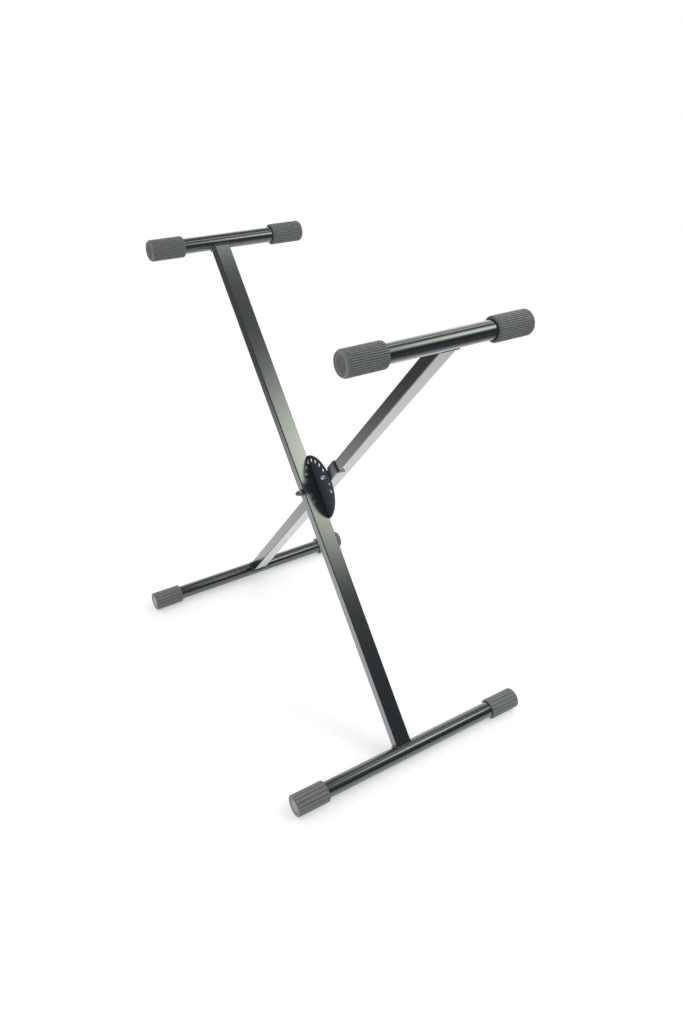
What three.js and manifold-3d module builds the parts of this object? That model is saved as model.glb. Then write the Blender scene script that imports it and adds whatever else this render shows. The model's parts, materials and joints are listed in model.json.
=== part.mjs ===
// Folding keyboard stand, millimetres, +Z up. Two crossed box-section arms turn on one bolt.
// Each arm carries a round bar at its top for the keyboard and a longer one at its foot, and
// both bars end in push-on rubber caps. A round lock plate on one arm has a row of
// holes, and a sprung pin in the other arm drops into one of them to set the height.
//
// The origin is on the floor under the bolt. The bars run along Y, and the stand opens along X.
import * as THREE from 'three';
import { mergeVertices } from 'three/addons/utils/BufferGeometryUtils.js';
import Module from 'manifold-3d';

// ---- Driving dimensions ----------------------------------------------------------------

const GAP = 0.3; // between pieces that touch

const LEAN = THREE.MathUtils.degToRad(40.5); // of each arm from upright, as it stands here
const ARM_REACH = 500; // from the bolt to the middle of each round bar
const ARM_WIDTH = 20;
const ARM_DEPTH = 30;
const ARM_WALL = 1.2;
const ARM_CORNER = 1.5;
const ARM_SPACING = 6; // between the arms' inner faces

const TOP_BAR_DIAMETER = 28;
const FOOT_BAR_DIAMETER = 30;
const BAR_WALL = 1.2;
const TOP_SPAN = 310; // over the caps
const FOOT_SPAN = 482;
const FOOT_SHIFT = 3.5; // of each foot bar towards its own arm's side
const WELD_LEG = 2.5;
const WELD_START = 0.45; // of the bar's radius, from the bar's middle

const CAP_END = 4; // rubber beyond the bar's end
const CROWN_FACET = THREE.MathUtils.degToRad(6.5); // one flat of a rib's crown, about
const TOP_CAP = {
  radius: 18.75,
  length: 65,
  ribs: 36,
  grooveShare: 0.4, // of a rib's pitch
  grooveDepth: 0.8,
  smoothEnd: 5, // no ribs here
  round: 3.5,
  chamfer: 2.5,
  recessRadius: 11.5,
  recessDepth: 0.8,
};
const FOOT_CAP = {
  radius: 19,
  length: 61,
  ribs: 16,
  grooveShare: 0.18,
  grooveDepth: 1,
  smoothEnd: 0,
  round: 2,
  chamfer: 2,
  recessRadius: 0,
  recessDepth: 0,
};

const PLATE_RADIUS = 62;
const PLATE_THICKNESS = 3;
const LOCK_CIRCLE = 53; // radius of the row of lock holes
const LOCK_PITCH = THREE.MathUtils.degToRad(15.3);
const HOLES_CLOSING = 5; // lock holes past the one in use, towards folded
const HOLES_OPENING = 2; // and towards flat
const LOCK_HOLE_RADIUS = 4.25;

const BOLT_RADIUS = 3;
const BOLT_HEAD_FLATS = 10;
const BOLT_HEAD_HEIGHT = 4;
const NUT_HEX_HEIGHT = 5;
const NUT_DOME_HEIGHT = 6;
const NUT_END_WALL = 4; // of the dome past the bolt's end
const SLEEVE_RADIUS = 5;
const WASHER_RADIUS = 6.5;
const WASHER_THICKNESS = 1.6;
const SPACER_RADIUS = 11;

const PIN_RADIUS = 3.5;
const PIN_STANDOUT = 10.3; // past the plate's near face
const PIN_TIP = 2; // length of its rounded end
const PIN_TIP_SHARE = 0.6; // of its radius that is left at the very end
const GUIDE_RADIUS = 5.5;
const GUIDE_LENGTH = 4;
const COLLAR_RADIUS = 5.4;
const COLLAR_THICKNESS = 1.5;
const BUTTON_RADIUS = 7;
const BUTTON_THICKNESS = 5;
const SPRING_WIRE = 0.9;
const SPRING_COILS = 7;

const SADDLE_START = 64; // from the bolt, along the arm
const SADDLE_LENGTH = 28;
const SADDLE_WEB = 24; // of its width, down the arm's side
const SADDLE_SHEET = 2.5;
const RIVET_RADIUS = 2;
const RIVET_HEAD_RADIUS = 4;
const RIVET_HEAD_HEIGHT = 1.2;
const RIVET_GRIP = 6; // of the shank, past the saddle
const CLIP_WIRE = 2.2;
const CLIP_BEND = 2;
const CLIP_FOOT = 11; // under the arm
const CLIP_BEAD = 3.4; // thicker end of the wire

// ---- Places worked out from them -------------------------------------------------------

const inner = ARM_SPACING / 2; // depth of the arms' inner faces
const outer = inner + ARM_DEPTH; // and of their outer faces
const pivotHeight = ARM_REACH * Math.cos(LEAN) + FOOT_CAP.radius;
const plateNear = -inner + GAP;
const plateFar = plateNear + PLATE_THICKNESS;
const saddleEnd = SADDLE_START + SADDLE_LENGTH;
const boltHole = BOLT_RADIUS + GAP;

// ---- Solids ----------------------------------------------------------------------------

const wasm = await Module();
wasm.setup();

/** A closed geometry as a solid that can be joined and cut. */
function solid(geometry) {
  const bare = geometry.clone();
  bare.deleteAttribute('normal');
  bare.deleteAttribute('uv');
  const merged = mergeVertices(bare, 1e-4);
  return new wasm.Manifold(new wasm.Mesh({
    numProp: 3,
    vertProperties: new Float32Array(merged.attributes.position.array),
    triVerts: new Uint32Array(merged.index.array),
  }));
}

/** A solid back as a geometry for a mesh. */
function geometryOf(body) {
  const { vertProperties, triVerts } = body.getMesh();
  const geometry = new THREE.BufferGeometry();
  geometry.setAttribute('position', new THREE.BufferAttribute(vertProperties, 3));
  geometry.setIndex(new THREE.BufferAttribute(triVerts, 1));
  geometry.computeVertexNormals();
  return geometry;
}

/** A round rod along Y from `from` to `to`, at (x, z). */
function rod(radius, from, to, { x = 0, z = 0, sides = 36, tip = radius } = {}) {
  const geometry = new THREE.CylinderGeometry(tip, radius, to - from, sides);
  geometry.translate(x, (from + to) / 2, z);
  return solid(geometry);
}

/** A round tube along Y. */
function tube(radius, bore, from, to, place = {}) {
  return rod(radius, from, to, place).subtract(rod(bore, from - 1, to + 1, place));
}

/** A hexagonal prism along Y. */
function hexagon(flats, from, to) {
  return rod(flats / Math.sqrt(3), from, to, { sides: 6 });
}

/** A rounded rectangle, `width` across X and `depth` across Y, grown by `grow` all round. */
function rectangle(width, depth, corner, middle, grow = 0, Outline = THREE.Shape) {
  const x = width / 2 + grow;
  const y = depth / 2 + grow;
  const r = Math.max(corner + grow, 0.2);
  const outline = new Outline();
  outline.absarc(x - r, middle + y - r, r, 0, Math.PI / 2);
  outline.absarc(-x + r, middle + y - r, r, Math.PI / 2, Math.PI);
  outline.absarc(-x + r, middle - y + r, r, Math.PI, 1.5 * Math.PI);
  outline.absarc(x - r, middle - y + r, r, 1.5 * Math.PI, 2 * Math.PI);
  outline.closePath();
  return outline;
}

/** A shape drawn across X and Y, pulled along Z from `from` to `to`. */
function pulled(shape, from, to, curveSegments = 4) {
  const geometry = new THREE.ExtrudeGeometry(shape, {
    depth: to - from,
    bevelEnabled: false,
    curveSegments,
  });
  geometry.translate(0, 0, from);
  return solid(geometry);
}

// ---- Pieces ----------------------------------------------------------------------------

/** The box-section arm, hollowed at each end to the round bar that is welded there. */
function armTube(middle) {
  const section = rectangle(ARM_WIDTH, ARM_DEPTH, ARM_CORNER, middle);
  section.holes.push(rectangle(ARM_WIDTH, ARM_DEPTH, ARM_CORNER, middle, -ARM_WALL, THREE.Path));
  return pulled(section, -ARM_REACH, ARM_REACH)
    .subtract(rod(TOP_BAR_DIAMETER / 2 + GAP, -FOOT_SPAN, FOOT_SPAN, { z: ARM_REACH }))
    .subtract(rod(FOOT_BAR_DIAMETER / 2 + GAP, -FOOT_SPAN, FOOT_SPAN, { z: -ARM_REACH }))
    .subtract(rod(SLEEVE_RADIUS + GAP, -outer - 1, outer + 1, { sides: 24 }));
}

/** The bead of weld round an arm's end, where it meets the bar at `z`. */
function weldBead(middle, z, barDiameter) {
  const bar = barDiameter / 2 + GAP;
  const inwards = -Math.sign(z);
  const far = z + inwards * (bar + WELD_LEG + 1);
  const near = z + inwards * bar * WELD_START;
  const span = [Math.min(far, near), Math.max(far, near)];
  const leg = GAP + WELD_LEG;
  const ring = rectangle(ARM_WIDTH, ARM_DEPTH, ARM_CORNER, middle, leg);
  ring.holes.push(rectangle(ARM_WIDTH, ARM_DEPTH, ARM_CORNER, middle, GAP, THREE.Path));
  return pulled(ring, ...span)
    .intersect(rod(bar + WELD_LEG, -FOOT_SPAN, FOOT_SPAN, { z }))
    .subtract(rod(bar, -FOOT_SPAN, FOOT_SPAN, { z }));
}

/** A round bar, whose ends stop inside its caps. */
function roundBar(diameter, span) {
  const end = span / 2 - CAP_END - GAP;
  return tube(diameter / 2, diameter / 2 - BAR_WALL, -end, end);
}

/** Radius of a cap's outline at a fraction of one rib's pitch: a flat crown, then a groove. */
function ribOutline({ radius, ribs, grooveShare, grooveDepth }) {
  const pitch = (2 * Math.PI) / ribs;
  const crown = pitch * (1 - grooveShare);
  const facets = Math.max(1, Math.round(crown / CROWN_FACET));
  const points = [];
  for (let rib = 0; rib < ribs; rib += 1) {
    for (let k = 0; k <= facets; k += 1) {
      const angle = rib * pitch + crown * (k / facets - 0.5);
      // the facets' middles touch the cap's radius, so the crown is a true flat
      points.push({ angle, r: radius / Math.cos(crown / facets / 2) });
    }
    points.push({ angle: (rib + 0.5) * pitch, r: radius - grooveDepth });
  }
  return points;
}

/** A closed skin over rings of equal count, along Y. Each ring is a list of [x, y, z]. */
function skin(rings) {
  const count = rings[0].length;
  const positions = rings.flat(2);
  const index = [];
  for (let k = 0; k + 1 < rings.length; k += 1) {
    for (let i = 0; i < count; i += 1) {
      const a = k * count + i;
      const b = k * count + ((i + 1) % count);
      index.push(a, b, a + count, b, b + count, a + count);
    }
  }
  const first = positions.length / 3;
  positions.push(0, rings[0][0][1], 0, 0, rings.at(-1)[0][1], 0);
  const last = (rings.length - 1) * count;
  for (let i = 0; i < count; i += 1) {
    const next = (i + 1) % count;
    index.push(first, next, i, first + 1, last + i, last + next);
  }
  const geometry = new THREE.BufferGeometry();
  geometry.setAttribute('position', new THREE.Float32BufferAttribute(positions, 3));
  geometry.setIndex(index);
  return geometry;
}

/** A push-on rubber cap. Its closed end is at y = 0 and its mouth at y = length. */
function cap(spec, barDiameter) {
  const outline = ribOutline(spec);
  const ring = (y, drop, ribbed) => outline.map(({ angle, r }) => {
    const limit = spec.radius - drop;
    const reach = ribbed ? Math.min(r, drop > 0 ? limit : r) : limit;
    return [reach * Math.sin(angle), y, reach * Math.cos(angle)];
  });
  const ribbed = spec.smoothEnd === 0;
  const shoulder = spec.grooveDepth / 2; // the smooth end is a little thinner than the ribs
  const rings = [ring(0, spec.round, ribbed)];
  if (ribbed) {
    rings.push(ring(spec.round, 0, true));
  } else {
    rings.push(ring(spec.round, shoulder, false));
    rings.push(ring(spec.smoothEnd, 0, true));
  }
  rings.push(ring(spec.length - spec.chamfer, 0, true));
  rings.push(ring(spec.length, spec.chamfer, true));
  let body = solid(skin(rings))
    .subtract(rod(barDiameter / 2 + GAP, CAP_END, spec.length + 1));
  if (spec.recessDepth > 0) {
    body = body.subtract(rod(spec.recessRadius, -1, spec.recessDepth, { sides: 30 }));
  }
  return geometryOf(body);
}

/** Where a lock hole lies on the plate, in the plate arm's own frame. */
function lockHoleAt(step) {
  const angle = 2 * LEAN + step * LOCK_PITCH;
  return { x: LOCK_CIRCLE * Math.sin(angle), z: LOCK_CIRCLE * Math.cos(angle) };
}

function lockPlate() {
  let plate = tube(PLATE_RADIUS, boltHole, plateNear, plateFar, { sides: 72 });
  for (let step = -HOLES_CLOSING; step <= HOLES_OPENING; step += 1) {
    const hole = { ...lockHoleAt(step), sides: 16 };
    plate = plate.subtract(rod(LOCK_HOLE_RADIUS, plateNear - 1, plateFar + 1, hole));
  }
  return plate;
}

/** A domed nut on the near side, with a blind bore for the bolt. */
function domeNut(seat) {
  const hexEnd = seat - NUT_HEX_HEIGHT;
  const end = hexEnd - NUT_DOME_HEIGHT;
  const root = BOLT_HEAD_FLATS / 2 - GAP;
  const profile = [new THREE.Vector2(0, end)];
  for (let k = 1; k <= 5; k += 1) {
    const angle = (k / 5) * (Math.PI / 2);
    profile.push(new THREE.Vector2(root * Math.sin(angle), hexEnd - NUT_DOME_HEIGHT * Math.cos(angle)));
  }
  profile.push(new THREE.Vector2(root, seat - NUT_HEX_HEIGHT / 2));
  profile.push(new THREE.Vector2(0, seat - NUT_HEX_HEIGHT / 2));
  const dome = solid(new THREE.LatheGeometry(profile, 24));
  return hexagon(BOLT_HEAD_FLATS, hexEnd, seat)
    .add(dome)
    .subtract(rod(boltHole, end + NUT_END_WALL, seat + 1, { sides: 24 }));
}

/** The bolt: its head on the far side and its end inside the domed nut. */
function pivotBolt(headSeat, nutSeat) {
  const end = nutSeat - NUT_HEX_HEIGHT - NUT_DOME_HEIGHT + NUT_END_WALL + GAP;
  return rod(BOLT_RADIUS, end, headSeat + 1, { sides: 24 })
    .add(hexagon(BOLT_HEAD_FLATS, headSeat, headSeat + BOLT_HEAD_HEIGHT));
}

/** The sprung pin with its rounded tip, along Y at the origin of its own frame. */
function lockPin() {
  const tip = plateNear - PIN_STANDOUT;
  const round = rod(PIN_RADIUS * PIN_TIP_SHARE, tip, tip + PIN_TIP, { sides: 32, tip: PIN_RADIUS });
  return rod(PIN_RADIUS, tip + PIN_TIP, outer + GAP + BUTTON_THICKNESS / 2, { sides: 24 })
    .add(round);
}

/** The flat pull button on the pin's far end. */
function pullButton() {
  const seat = outer + GAP;
  const end = seat + BUTTON_THICKNESS;
  return rod(BUTTON_RADIUS, seat, end, { sides: 30 })
    .subtract(rod(PIN_RADIUS + GAP, seat - 1, seat + BUTTON_THICKNESS / 2 + GAP, { sides: 24 }));
}

/** A helix along Y, for the coil spring. */
class Helix extends THREE.Curve {
  constructor(radius, from, to, coils) {
    super();
    Object.assign(this, { radius, from, to, coils });
  }

  getPoint(t, target = new THREE.Vector3()) {
    const angle = 2 * Math.PI * this.coils * t;
    const y = this.from + (this.to - this.from) * t;
    return target.set(this.radius * Math.cos(angle), y, this.radius * Math.sin(angle));
  }
}

/** A round wire along a curve. */
function wire(curve, diameter, steps, sides) {
  const section = new THREE.Shape();
  for (let k = 0; k < sides; k += 1) {
    const angle = (2 * Math.PI * k) / sides;
    const point = [(diameter / 2) * Math.cos(angle), (diameter / 2) * Math.sin(angle)];
    if (k === 0) section.moveTo(...point);
    else section.lineTo(...point);
  }
  section.closePath();
  return new THREE.ExtrudeGeometry(section, { steps, bevelEnabled: false, extrudePath: curve });
}

/** The coil spring inside the arm, between the pin's collar and the arm's far wall. */
function pinSpring(from, to) {
  const radius = PIN_RADIUS + GAP + SPRING_WIRE;
  const margin = SPRING_WIRE / 2 + GAP;
  const helix = new Helix(radius, from + margin, to - margin, SPRING_COILS);
  return wire(helix, SPRING_WIRE, SPRING_COILS * 8, 5);
}

/** The folded sheet saddle on the arm beside the plate: a cheek over its near face, and a web. */
function latchSaddle(rivetHole) {
  const half = ARM_WIDTH / 2;
  const near = inner - GAP;
  const end = near + SADDLE_WEB;
  const web = -half - GAP;
  const corner = SADDLE_SHEET;
  const shape = new THREE.Shape();
  shape.moveTo(half, near);
  shape.lineTo(web, near);
  shape.lineTo(web, end);
  shape.lineTo(web - SADDLE_SHEET, end);
  shape.absarc(web - SADDLE_SHEET + corner, near - SADDLE_SHEET + corner, corner,
    Math.PI, 1.5 * Math.PI);
  shape.lineTo(half, near - SADDLE_SHEET);
  shape.closePath();
  return pulled(shape, SADDLE_START, saddleEnd, 6).subtract(rivetHole);
}

/** A wire clip over the arm at the saddle's end, with a thicker bead on its free end. */
function latchClip(z) {
  const side = ARM_WIDTH / 2 + GAP + CLIP_WIRE / 2;
  const front = inner - GAP - CLIP_WIRE / 2;
  const foot = inner + CLIP_FOOT;
  const points = [
    [-side, foot], [-side, front + CLIP_BEND], [-side + CLIP_BEND, front],
    [side - CLIP_BEND, front], [side, front + CLIP_BEND], [side, foot],
  ].map(([x, y]) => new THREE.Vector3(x, y, z));
  const path = new THREE.CurvePath();
  path.add(new THREE.LineCurve3(points[0], points[1]));
  path.add(new THREE.QuadraticBezierCurve3(
    points[1], new THREE.Vector3(-side, front, z), points[2]));
  path.add(new THREE.LineCurve3(points[2], points[3]));
  path.add(new THREE.QuadraticBezierCurve3(
    points[3], new THREE.Vector3(side, front, z), points[4]));
  path.add(new THREE.LineCurve3(points[4], points[5]));
  const bead = new THREE.SphereGeometry(CLIP_BEAD / 2, 8, 6);
  bead.translate(side + (CLIP_BEAD - CLIP_WIRE) / 2, foot, z);
  return solid(wire(path, CLIP_WIRE, 30, 6)).add(solid(bead));
}

/** A rod through the arm's side wall at `z`, where the saddle is riveted. */
function crossRod(radius, from, to, z) {
  const depth = inner + ARM_DEPTH / 2;
  return rod(radius, from, to, { sides: 20 }).rotate([0, 0, 90]).translate([0, depth, z]);
}

/** A blind rivet through the saddle's web into the arm. */
function latchRivet(z) {
  const seat = ARM_WIDTH / 2 + GAP + SADDLE_SHEET + GAP;
  return crossRod(RIVET_RADIUS, seat - GAP - SADDLE_SHEET - RIVET_GRIP, seat + GAP, z)
    .add(crossRod(RIVET_HEAD_RADIUS, seat, seat + RIVET_HEAD_HEIGHT, z));
}

// ---- Finishes --------------------------------------------------------------------------

const finish = (color, roughness, metalness) => ({ color, roughness, metalness });
const blackArm = finish(0x1b1c1e, 0.22, 0.3);
const blackBar = finish(0x17191b, 0.12, 0.3);
const blackPlate = finish(0x23262b, 0.35, 0.4);
const greyRubber = finish(0x5f6262, 0.75, 0);
const brightSteel = finish(0xc9ccd0, 0.22, 1);
const blackHardware = finish(0x141516, 0.4, 0.6);
const darkSheet = finish(0x3a3836, 0.5, 0.4);
const darkNylon = finish(0x2a2c2e, 0.6, 0);

/** Adds a named piece to a group. */
function place(group, name, shape, look, { x = 0, y = 0, z = 0, turn = 0 } = {}) {
  const geometry = shape.isBufferGeometry ? shape : geometryOf(shape);
  const mesh = new THREE.Mesh(geometry, new THREE.MeshStandardMaterial(look));
  mesh.name = name;
  mesh.position.set(x, y, z);
  mesh.rotation.y = turn;
  group.add(mesh);
}

// ---- Assembly --------------------------------------------------------------------------

const stand = new THREE.Group();

/** One arm with its bars, welds, caps and sleeve. `side` is -1 near and +1 far. */
function crossArm(name, side, lean) {
  const arm = new THREE.Group();
  arm.position.z = pivotHeight;
  arm.rotation.y = lean;
  stand.add(arm);
  const middle = side * (inner + ARM_DEPTH / 2);
  const top = { z: ARM_REACH, diameter: TOP_BAR_DIAMETER, span: TOP_SPAN, shift: 0, spec: TOP_CAP };
  const foot = {
    z: -ARM_REACH, diameter: FOOT_BAR_DIAMETER, span: FOOT_SPAN, shift: side * FOOT_SHIFT, spec: FOOT_CAP,
  };
  for (const [level, { z, diameter, span, shift, spec }] of Object.entries({ top, foot })) {
    const piece = `${name}_${level}`;
    place(arm, `${piece}_bar`, roundBar(diameter, span), blackBar, { y: shift, z });
    place(arm, `${piece}_weld`, weldBead(middle, z, diameter), blackArm);
    // caps keep a rib's flat crown straight up and down, whatever the arm's lean
    const near = { y: shift - span / 2, z, turn: -lean };
    const far = { y: shift + span / 2, z, turn: -lean };
    const geometry = cap(spec, diameter);
    place(arm, `${piece}_cap_near`, geometry, greyRubber, near);
    place(arm, `${piece}_cap_far`, geometry.clone().rotateZ(Math.PI), greyRubber, far);
  }
  const sleeve = tube(SLEEVE_RADIUS, boltHole, middle - ARM_DEPTH / 2, middle + ARM_DEPTH / 2,
    { sides: 24 });
  place(arm, `${name}_pivot_sleeve`, sleeve, blackHardware);
  return { arm, tube: armTube(middle) };
}

/** The near arm, which carries the lock plate and the bolt. */
function plateArm() {
  const { arm, tube: body } = crossArm('plate_arm', -1, -LEAN);
  // folded flat, the pin passes the plate and drops into this arm's inner wall
  const stow = { ...lockHoleAt(-HOLES_CLOSING), sides: 16 };
  const inside = -inner - ARM_WALL - 1;
  place(arm, 'plate_arm_tube', body.subtract(rod(LOCK_HOLE_RADIUS, inside, inner, stow)), blackArm);
  place(arm, 'lock_plate', lockPlate(), blackPlate);
}

/** The far arm, with the pin's guide, the saddle, its rivet and the wire clip. */
function pinArm() {
  const { arm, tube: body } = crossArm('pin_arm', 1, LEAN);
  const pin = { z: LOCK_CIRCLE, sides: 24 };
  const rivetAt = SADDLE_START + SADDLE_LENGTH / 2;
  const side = ARM_WIDTH / 2;
  const rivetHole = crossRod(RIVET_RADIUS + GAP, side - ARM_WALL - 1, side + SADDLE_SHEET + 1, rivetAt);
  const drilled = body
    .subtract(rod(GUIDE_RADIUS + GAP, inner - 1, inner + ARM_WALL + 1, pin))
    .subtract(rod(PIN_RADIUS + GAP, outer - ARM_WALL - 1, outer + 1, pin))
    .subtract(rivetHole);
  place(arm, 'pin_arm_tube', drilled, blackArm);
  place(arm, 'pin_guide', tube(GUIDE_RADIUS, PIN_RADIUS + GAP, inner, inner + GUIDE_LENGTH, pin),
    blackHardware);
  place(arm, 'latch_saddle', latchSaddle(rivetHole), darkSheet);
  place(arm, 'latch_rivet', latchRivet(rivetAt), blackHardware);
  place(arm, 'latch_clip', latchClip(saddleEnd + GAP + CLIP_WIRE / 2), blackHardware);
}

/** The sprung lock pin, with its collar, spring and pull button. */
function lockPinGroup() {
  const arm = new THREE.Group();
  arm.position.z = pivotHeight;
  arm.rotation.y = LEAN;
  stand.add(arm);
  const z = LOCK_CIRCLE;
  const collar = inner + GUIDE_LENGTH + GAP;
  const collarEnd = collar + COLLAR_THICKNESS;
  place(arm, 'lock_pin', lockPin(), brightSteel, { z });
  place(arm, 'pin_collar', tube(COLLAR_RADIUS, PIN_RADIUS + GAP, collar, collarEnd, { sides: 24 }),
    blackHardware, { z });
  place(arm, 'pin_spring', pinSpring(collarEnd, outer - ARM_WALL), brightSteel, { z });
  place(arm, 'pull_button', pullButton(), blackHardware, { z });
}

/** The bolt through both arms, with its washers, spacer and domed nut. */
function pivotHardware() {
  const pivot = new THREE.Group();
  pivot.position.z = pivotHeight;
  stand.add(pivot);
  const washerFar = outer + GAP;
  const headSeat = washerFar + WASHER_THICKNESS + GAP;
  const washerNear = -washerFar;
  const nutSeat = -headSeat;
  const round = { sides: 24 };
  place(pivot, 'pivot_bolt', pivotBolt(headSeat, nutSeat), blackHardware);
  place(pivot, 'pivot_nut', domeNut(nutSeat), blackHardware);
  place(pivot, 'pivot_washer_near',
    tube(WASHER_RADIUS, boltHole, washerNear - WASHER_THICKNESS, washerNear, round), blackHardware);
  place(pivot, 'pivot_washer_far',
    tube(WASHER_RADIUS, boltHole, washerFar, washerFar + WASHER_THICKNESS, round), blackHardware);
  place(pivot, 'pivot_spacer',
    tube(SPACER_RADIUS, boltHole, plateFar + GAP, inner - GAP, round), darkNylon);
}

plateArm();
pinArm();
lockPinGroup();
pivotHardware();

export default stand;
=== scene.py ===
import json
import math

import bmesh
import bpy
from mathutils import Matrix, Vector


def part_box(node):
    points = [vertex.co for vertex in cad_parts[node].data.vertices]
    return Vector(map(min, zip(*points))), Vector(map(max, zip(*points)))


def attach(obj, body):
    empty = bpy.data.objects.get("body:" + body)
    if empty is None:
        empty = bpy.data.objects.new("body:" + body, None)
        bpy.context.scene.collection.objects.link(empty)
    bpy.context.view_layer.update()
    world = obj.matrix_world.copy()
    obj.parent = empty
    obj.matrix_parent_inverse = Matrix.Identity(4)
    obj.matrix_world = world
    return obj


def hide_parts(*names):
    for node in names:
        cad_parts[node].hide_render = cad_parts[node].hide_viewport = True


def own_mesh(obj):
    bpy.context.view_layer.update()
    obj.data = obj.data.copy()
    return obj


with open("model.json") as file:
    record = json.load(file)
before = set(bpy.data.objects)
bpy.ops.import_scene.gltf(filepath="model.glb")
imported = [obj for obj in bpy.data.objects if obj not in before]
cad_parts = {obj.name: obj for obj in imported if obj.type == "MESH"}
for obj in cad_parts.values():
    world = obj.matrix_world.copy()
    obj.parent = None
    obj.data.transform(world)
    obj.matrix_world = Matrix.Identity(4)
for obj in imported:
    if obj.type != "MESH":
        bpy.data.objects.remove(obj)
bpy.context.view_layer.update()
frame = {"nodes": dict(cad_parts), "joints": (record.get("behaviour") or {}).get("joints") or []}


# ==== Camera ==================================================================================
# The stand is seen from its plate side, from above its right end and close to, so that the
# right top bar is much nearer than the left. The long side of the picture is its height.

camera_place = (1.139026, -0.664130, 1.155269)
camera_turn = (1.0205805, -0.0019543, 1.0105436)
lens_mm = 28.9347


def object_of(name, data):
    """A new object in the scene."""
    item = bpy.data.objects.new(name, data)
    bpy.context.scene.collection.objects.link(item)
    return item


camera_data = bpy.data.cameras.new("camera")
camera_data.sensor_fit = "AUTO"
camera_data.sensor_width = 36.0
camera_data.lens = lens_mm
camera_data.clip_end = 60.0
camera = object_of("camera", camera_data)
camera.location = camera_place
camera.rotation_euler = camera_turn
bpy.context.scene.camera = camera
bpy.context.scene.view_settings.view_transform = "Standard"


# ==== White floor and surroundings ============================================================
# A roll of white paper lies under the stand and rises behind it. The camera sees plain white all
# round, and the floor takes the stand's soft shadow. In the gloss of the paint the paper is a
# bright band down the middle of a darker room.

floor_radius = 12.0
floor_colour = (0.83, 0.84, 0.84, 1.0)
floor_glow = 0.38              # what the camera sees of the floor over the light that falls on it
shadow_reach = (0.9, 1.9)      # distance from the middle over which the floor turns even white
ambient_level = 0.70
paper_way = (-0.846, 0.532)    # the way the paper runs, from the camera past the stand
paper_edge = (0.35, 1.45)      # from its middle line to where it has passed into the room
paper_shine, room_shine = 0.55, 0.15     # of the paper on the floor, and of the floor beside it
far_paper_shine = 1.42         # of the paper where it rises behind the stand
far_paper_rise = 0.16          # of its middle over the level, for its distance along the floor
far_paper_spread = (math.radians(22.0), math.radians(50.0))    # off its middle, as paper_edge
room_shine_low, room_shine_high = 0.03, 0.28
room_heights = (0.35, 0.85)    # how far up a ray points where the room starts and stops paling
white = (1.0, 1.0, 1.0, 1.0)


def add_node(tree, kind, **settings):
    """A node of this kind. Each setting is one of its properties or inputs, by name, and an
    input takes a plain value or the socket that feeds it."""
    node = tree.nodes.new(kind)
    for label, value in settings.items():
        if hasattr(node, label):
            setattr(node, label, value)
            continue
        socket = node.inputs[label.replace("_", " ")]
        if isinstance(value, bpy.types.NodeSocket):
            tree.links.new(value, socket)
        else:
            socket.default_value = value
    return node


def made(tree, kind, **settings):
    """The first output of a node that add_node makes."""
    return add_node(tree, kind, **settings).outputs[0]


def joined(tree, kind, *sockets, **settings):
    """The output of a node that joins the last two of its inputs, or all that feed its one."""
    node = add_node(tree, kind, **settings)
    places = list(node.inputs)[-2:] if len(node.inputs) > 1 else [node.inputs[0]] * len(sockets)
    for socket, place in zip(sockets, places):
        tree.links.new(socket, place)
    return node.outputs[0]


def work_out(tree, operation, *terms, clamp=False):
    """One Math node over sockets and numbers. Gives its output socket."""
    node = tree.nodes.new("ShaderNodeMath")
    node.operation = operation
    node.use_clamp = clamp
    for socket, term in zip(node.inputs, terms):
        if isinstance(term, (int, float)):
            socket.default_value = term
        else:
            tree.links.new(term, socket)
    return node.outputs[0]


def ranged(tree, value, start=0.0, end=1.0, low=0.0, high=1.0, smooth=False):
    """A value as it goes from `start` to `end`, turned into one from `low` to `high`."""
    return made(tree, "ShaderNodeMapRange", Value=value, From_Min=start, From_Max=end, To_Min=low,
                To_Max=high, interpolation_type="SMOOTHSTEP" if smooth else "LINEAR")


def distance_along(tree, vector, way=None):
    """How far a vector goes this way, or how long it is where no way is given."""
    node = add_node(tree, "ShaderNodeVectorMath", operation="DOT_PRODUCT" if way else "LENGTH",
                    Vector=vector)
    if way:
        node.inputs[1].default_value = way
    return node.outputs["Value"]


def rays(tree):
    """Whether the camera sees this directly or through something, and whether gloss does."""
    path = add_node(tree, "ShaderNodeLightPath").outputs
    seen = work_out(tree, "MAXIMUM", path["Is Camera Ray"], path["Is Transmission Ray"])
    return seen, path["Is Glossy Ray"]


def mesh_of(name, shape):
    """A mesh from a bmesh, which is freed."""
    mesh = bpy.data.meshes.new(name)
    shape.to_mesh(mesh)
    shape.free()
    return mesh


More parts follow.
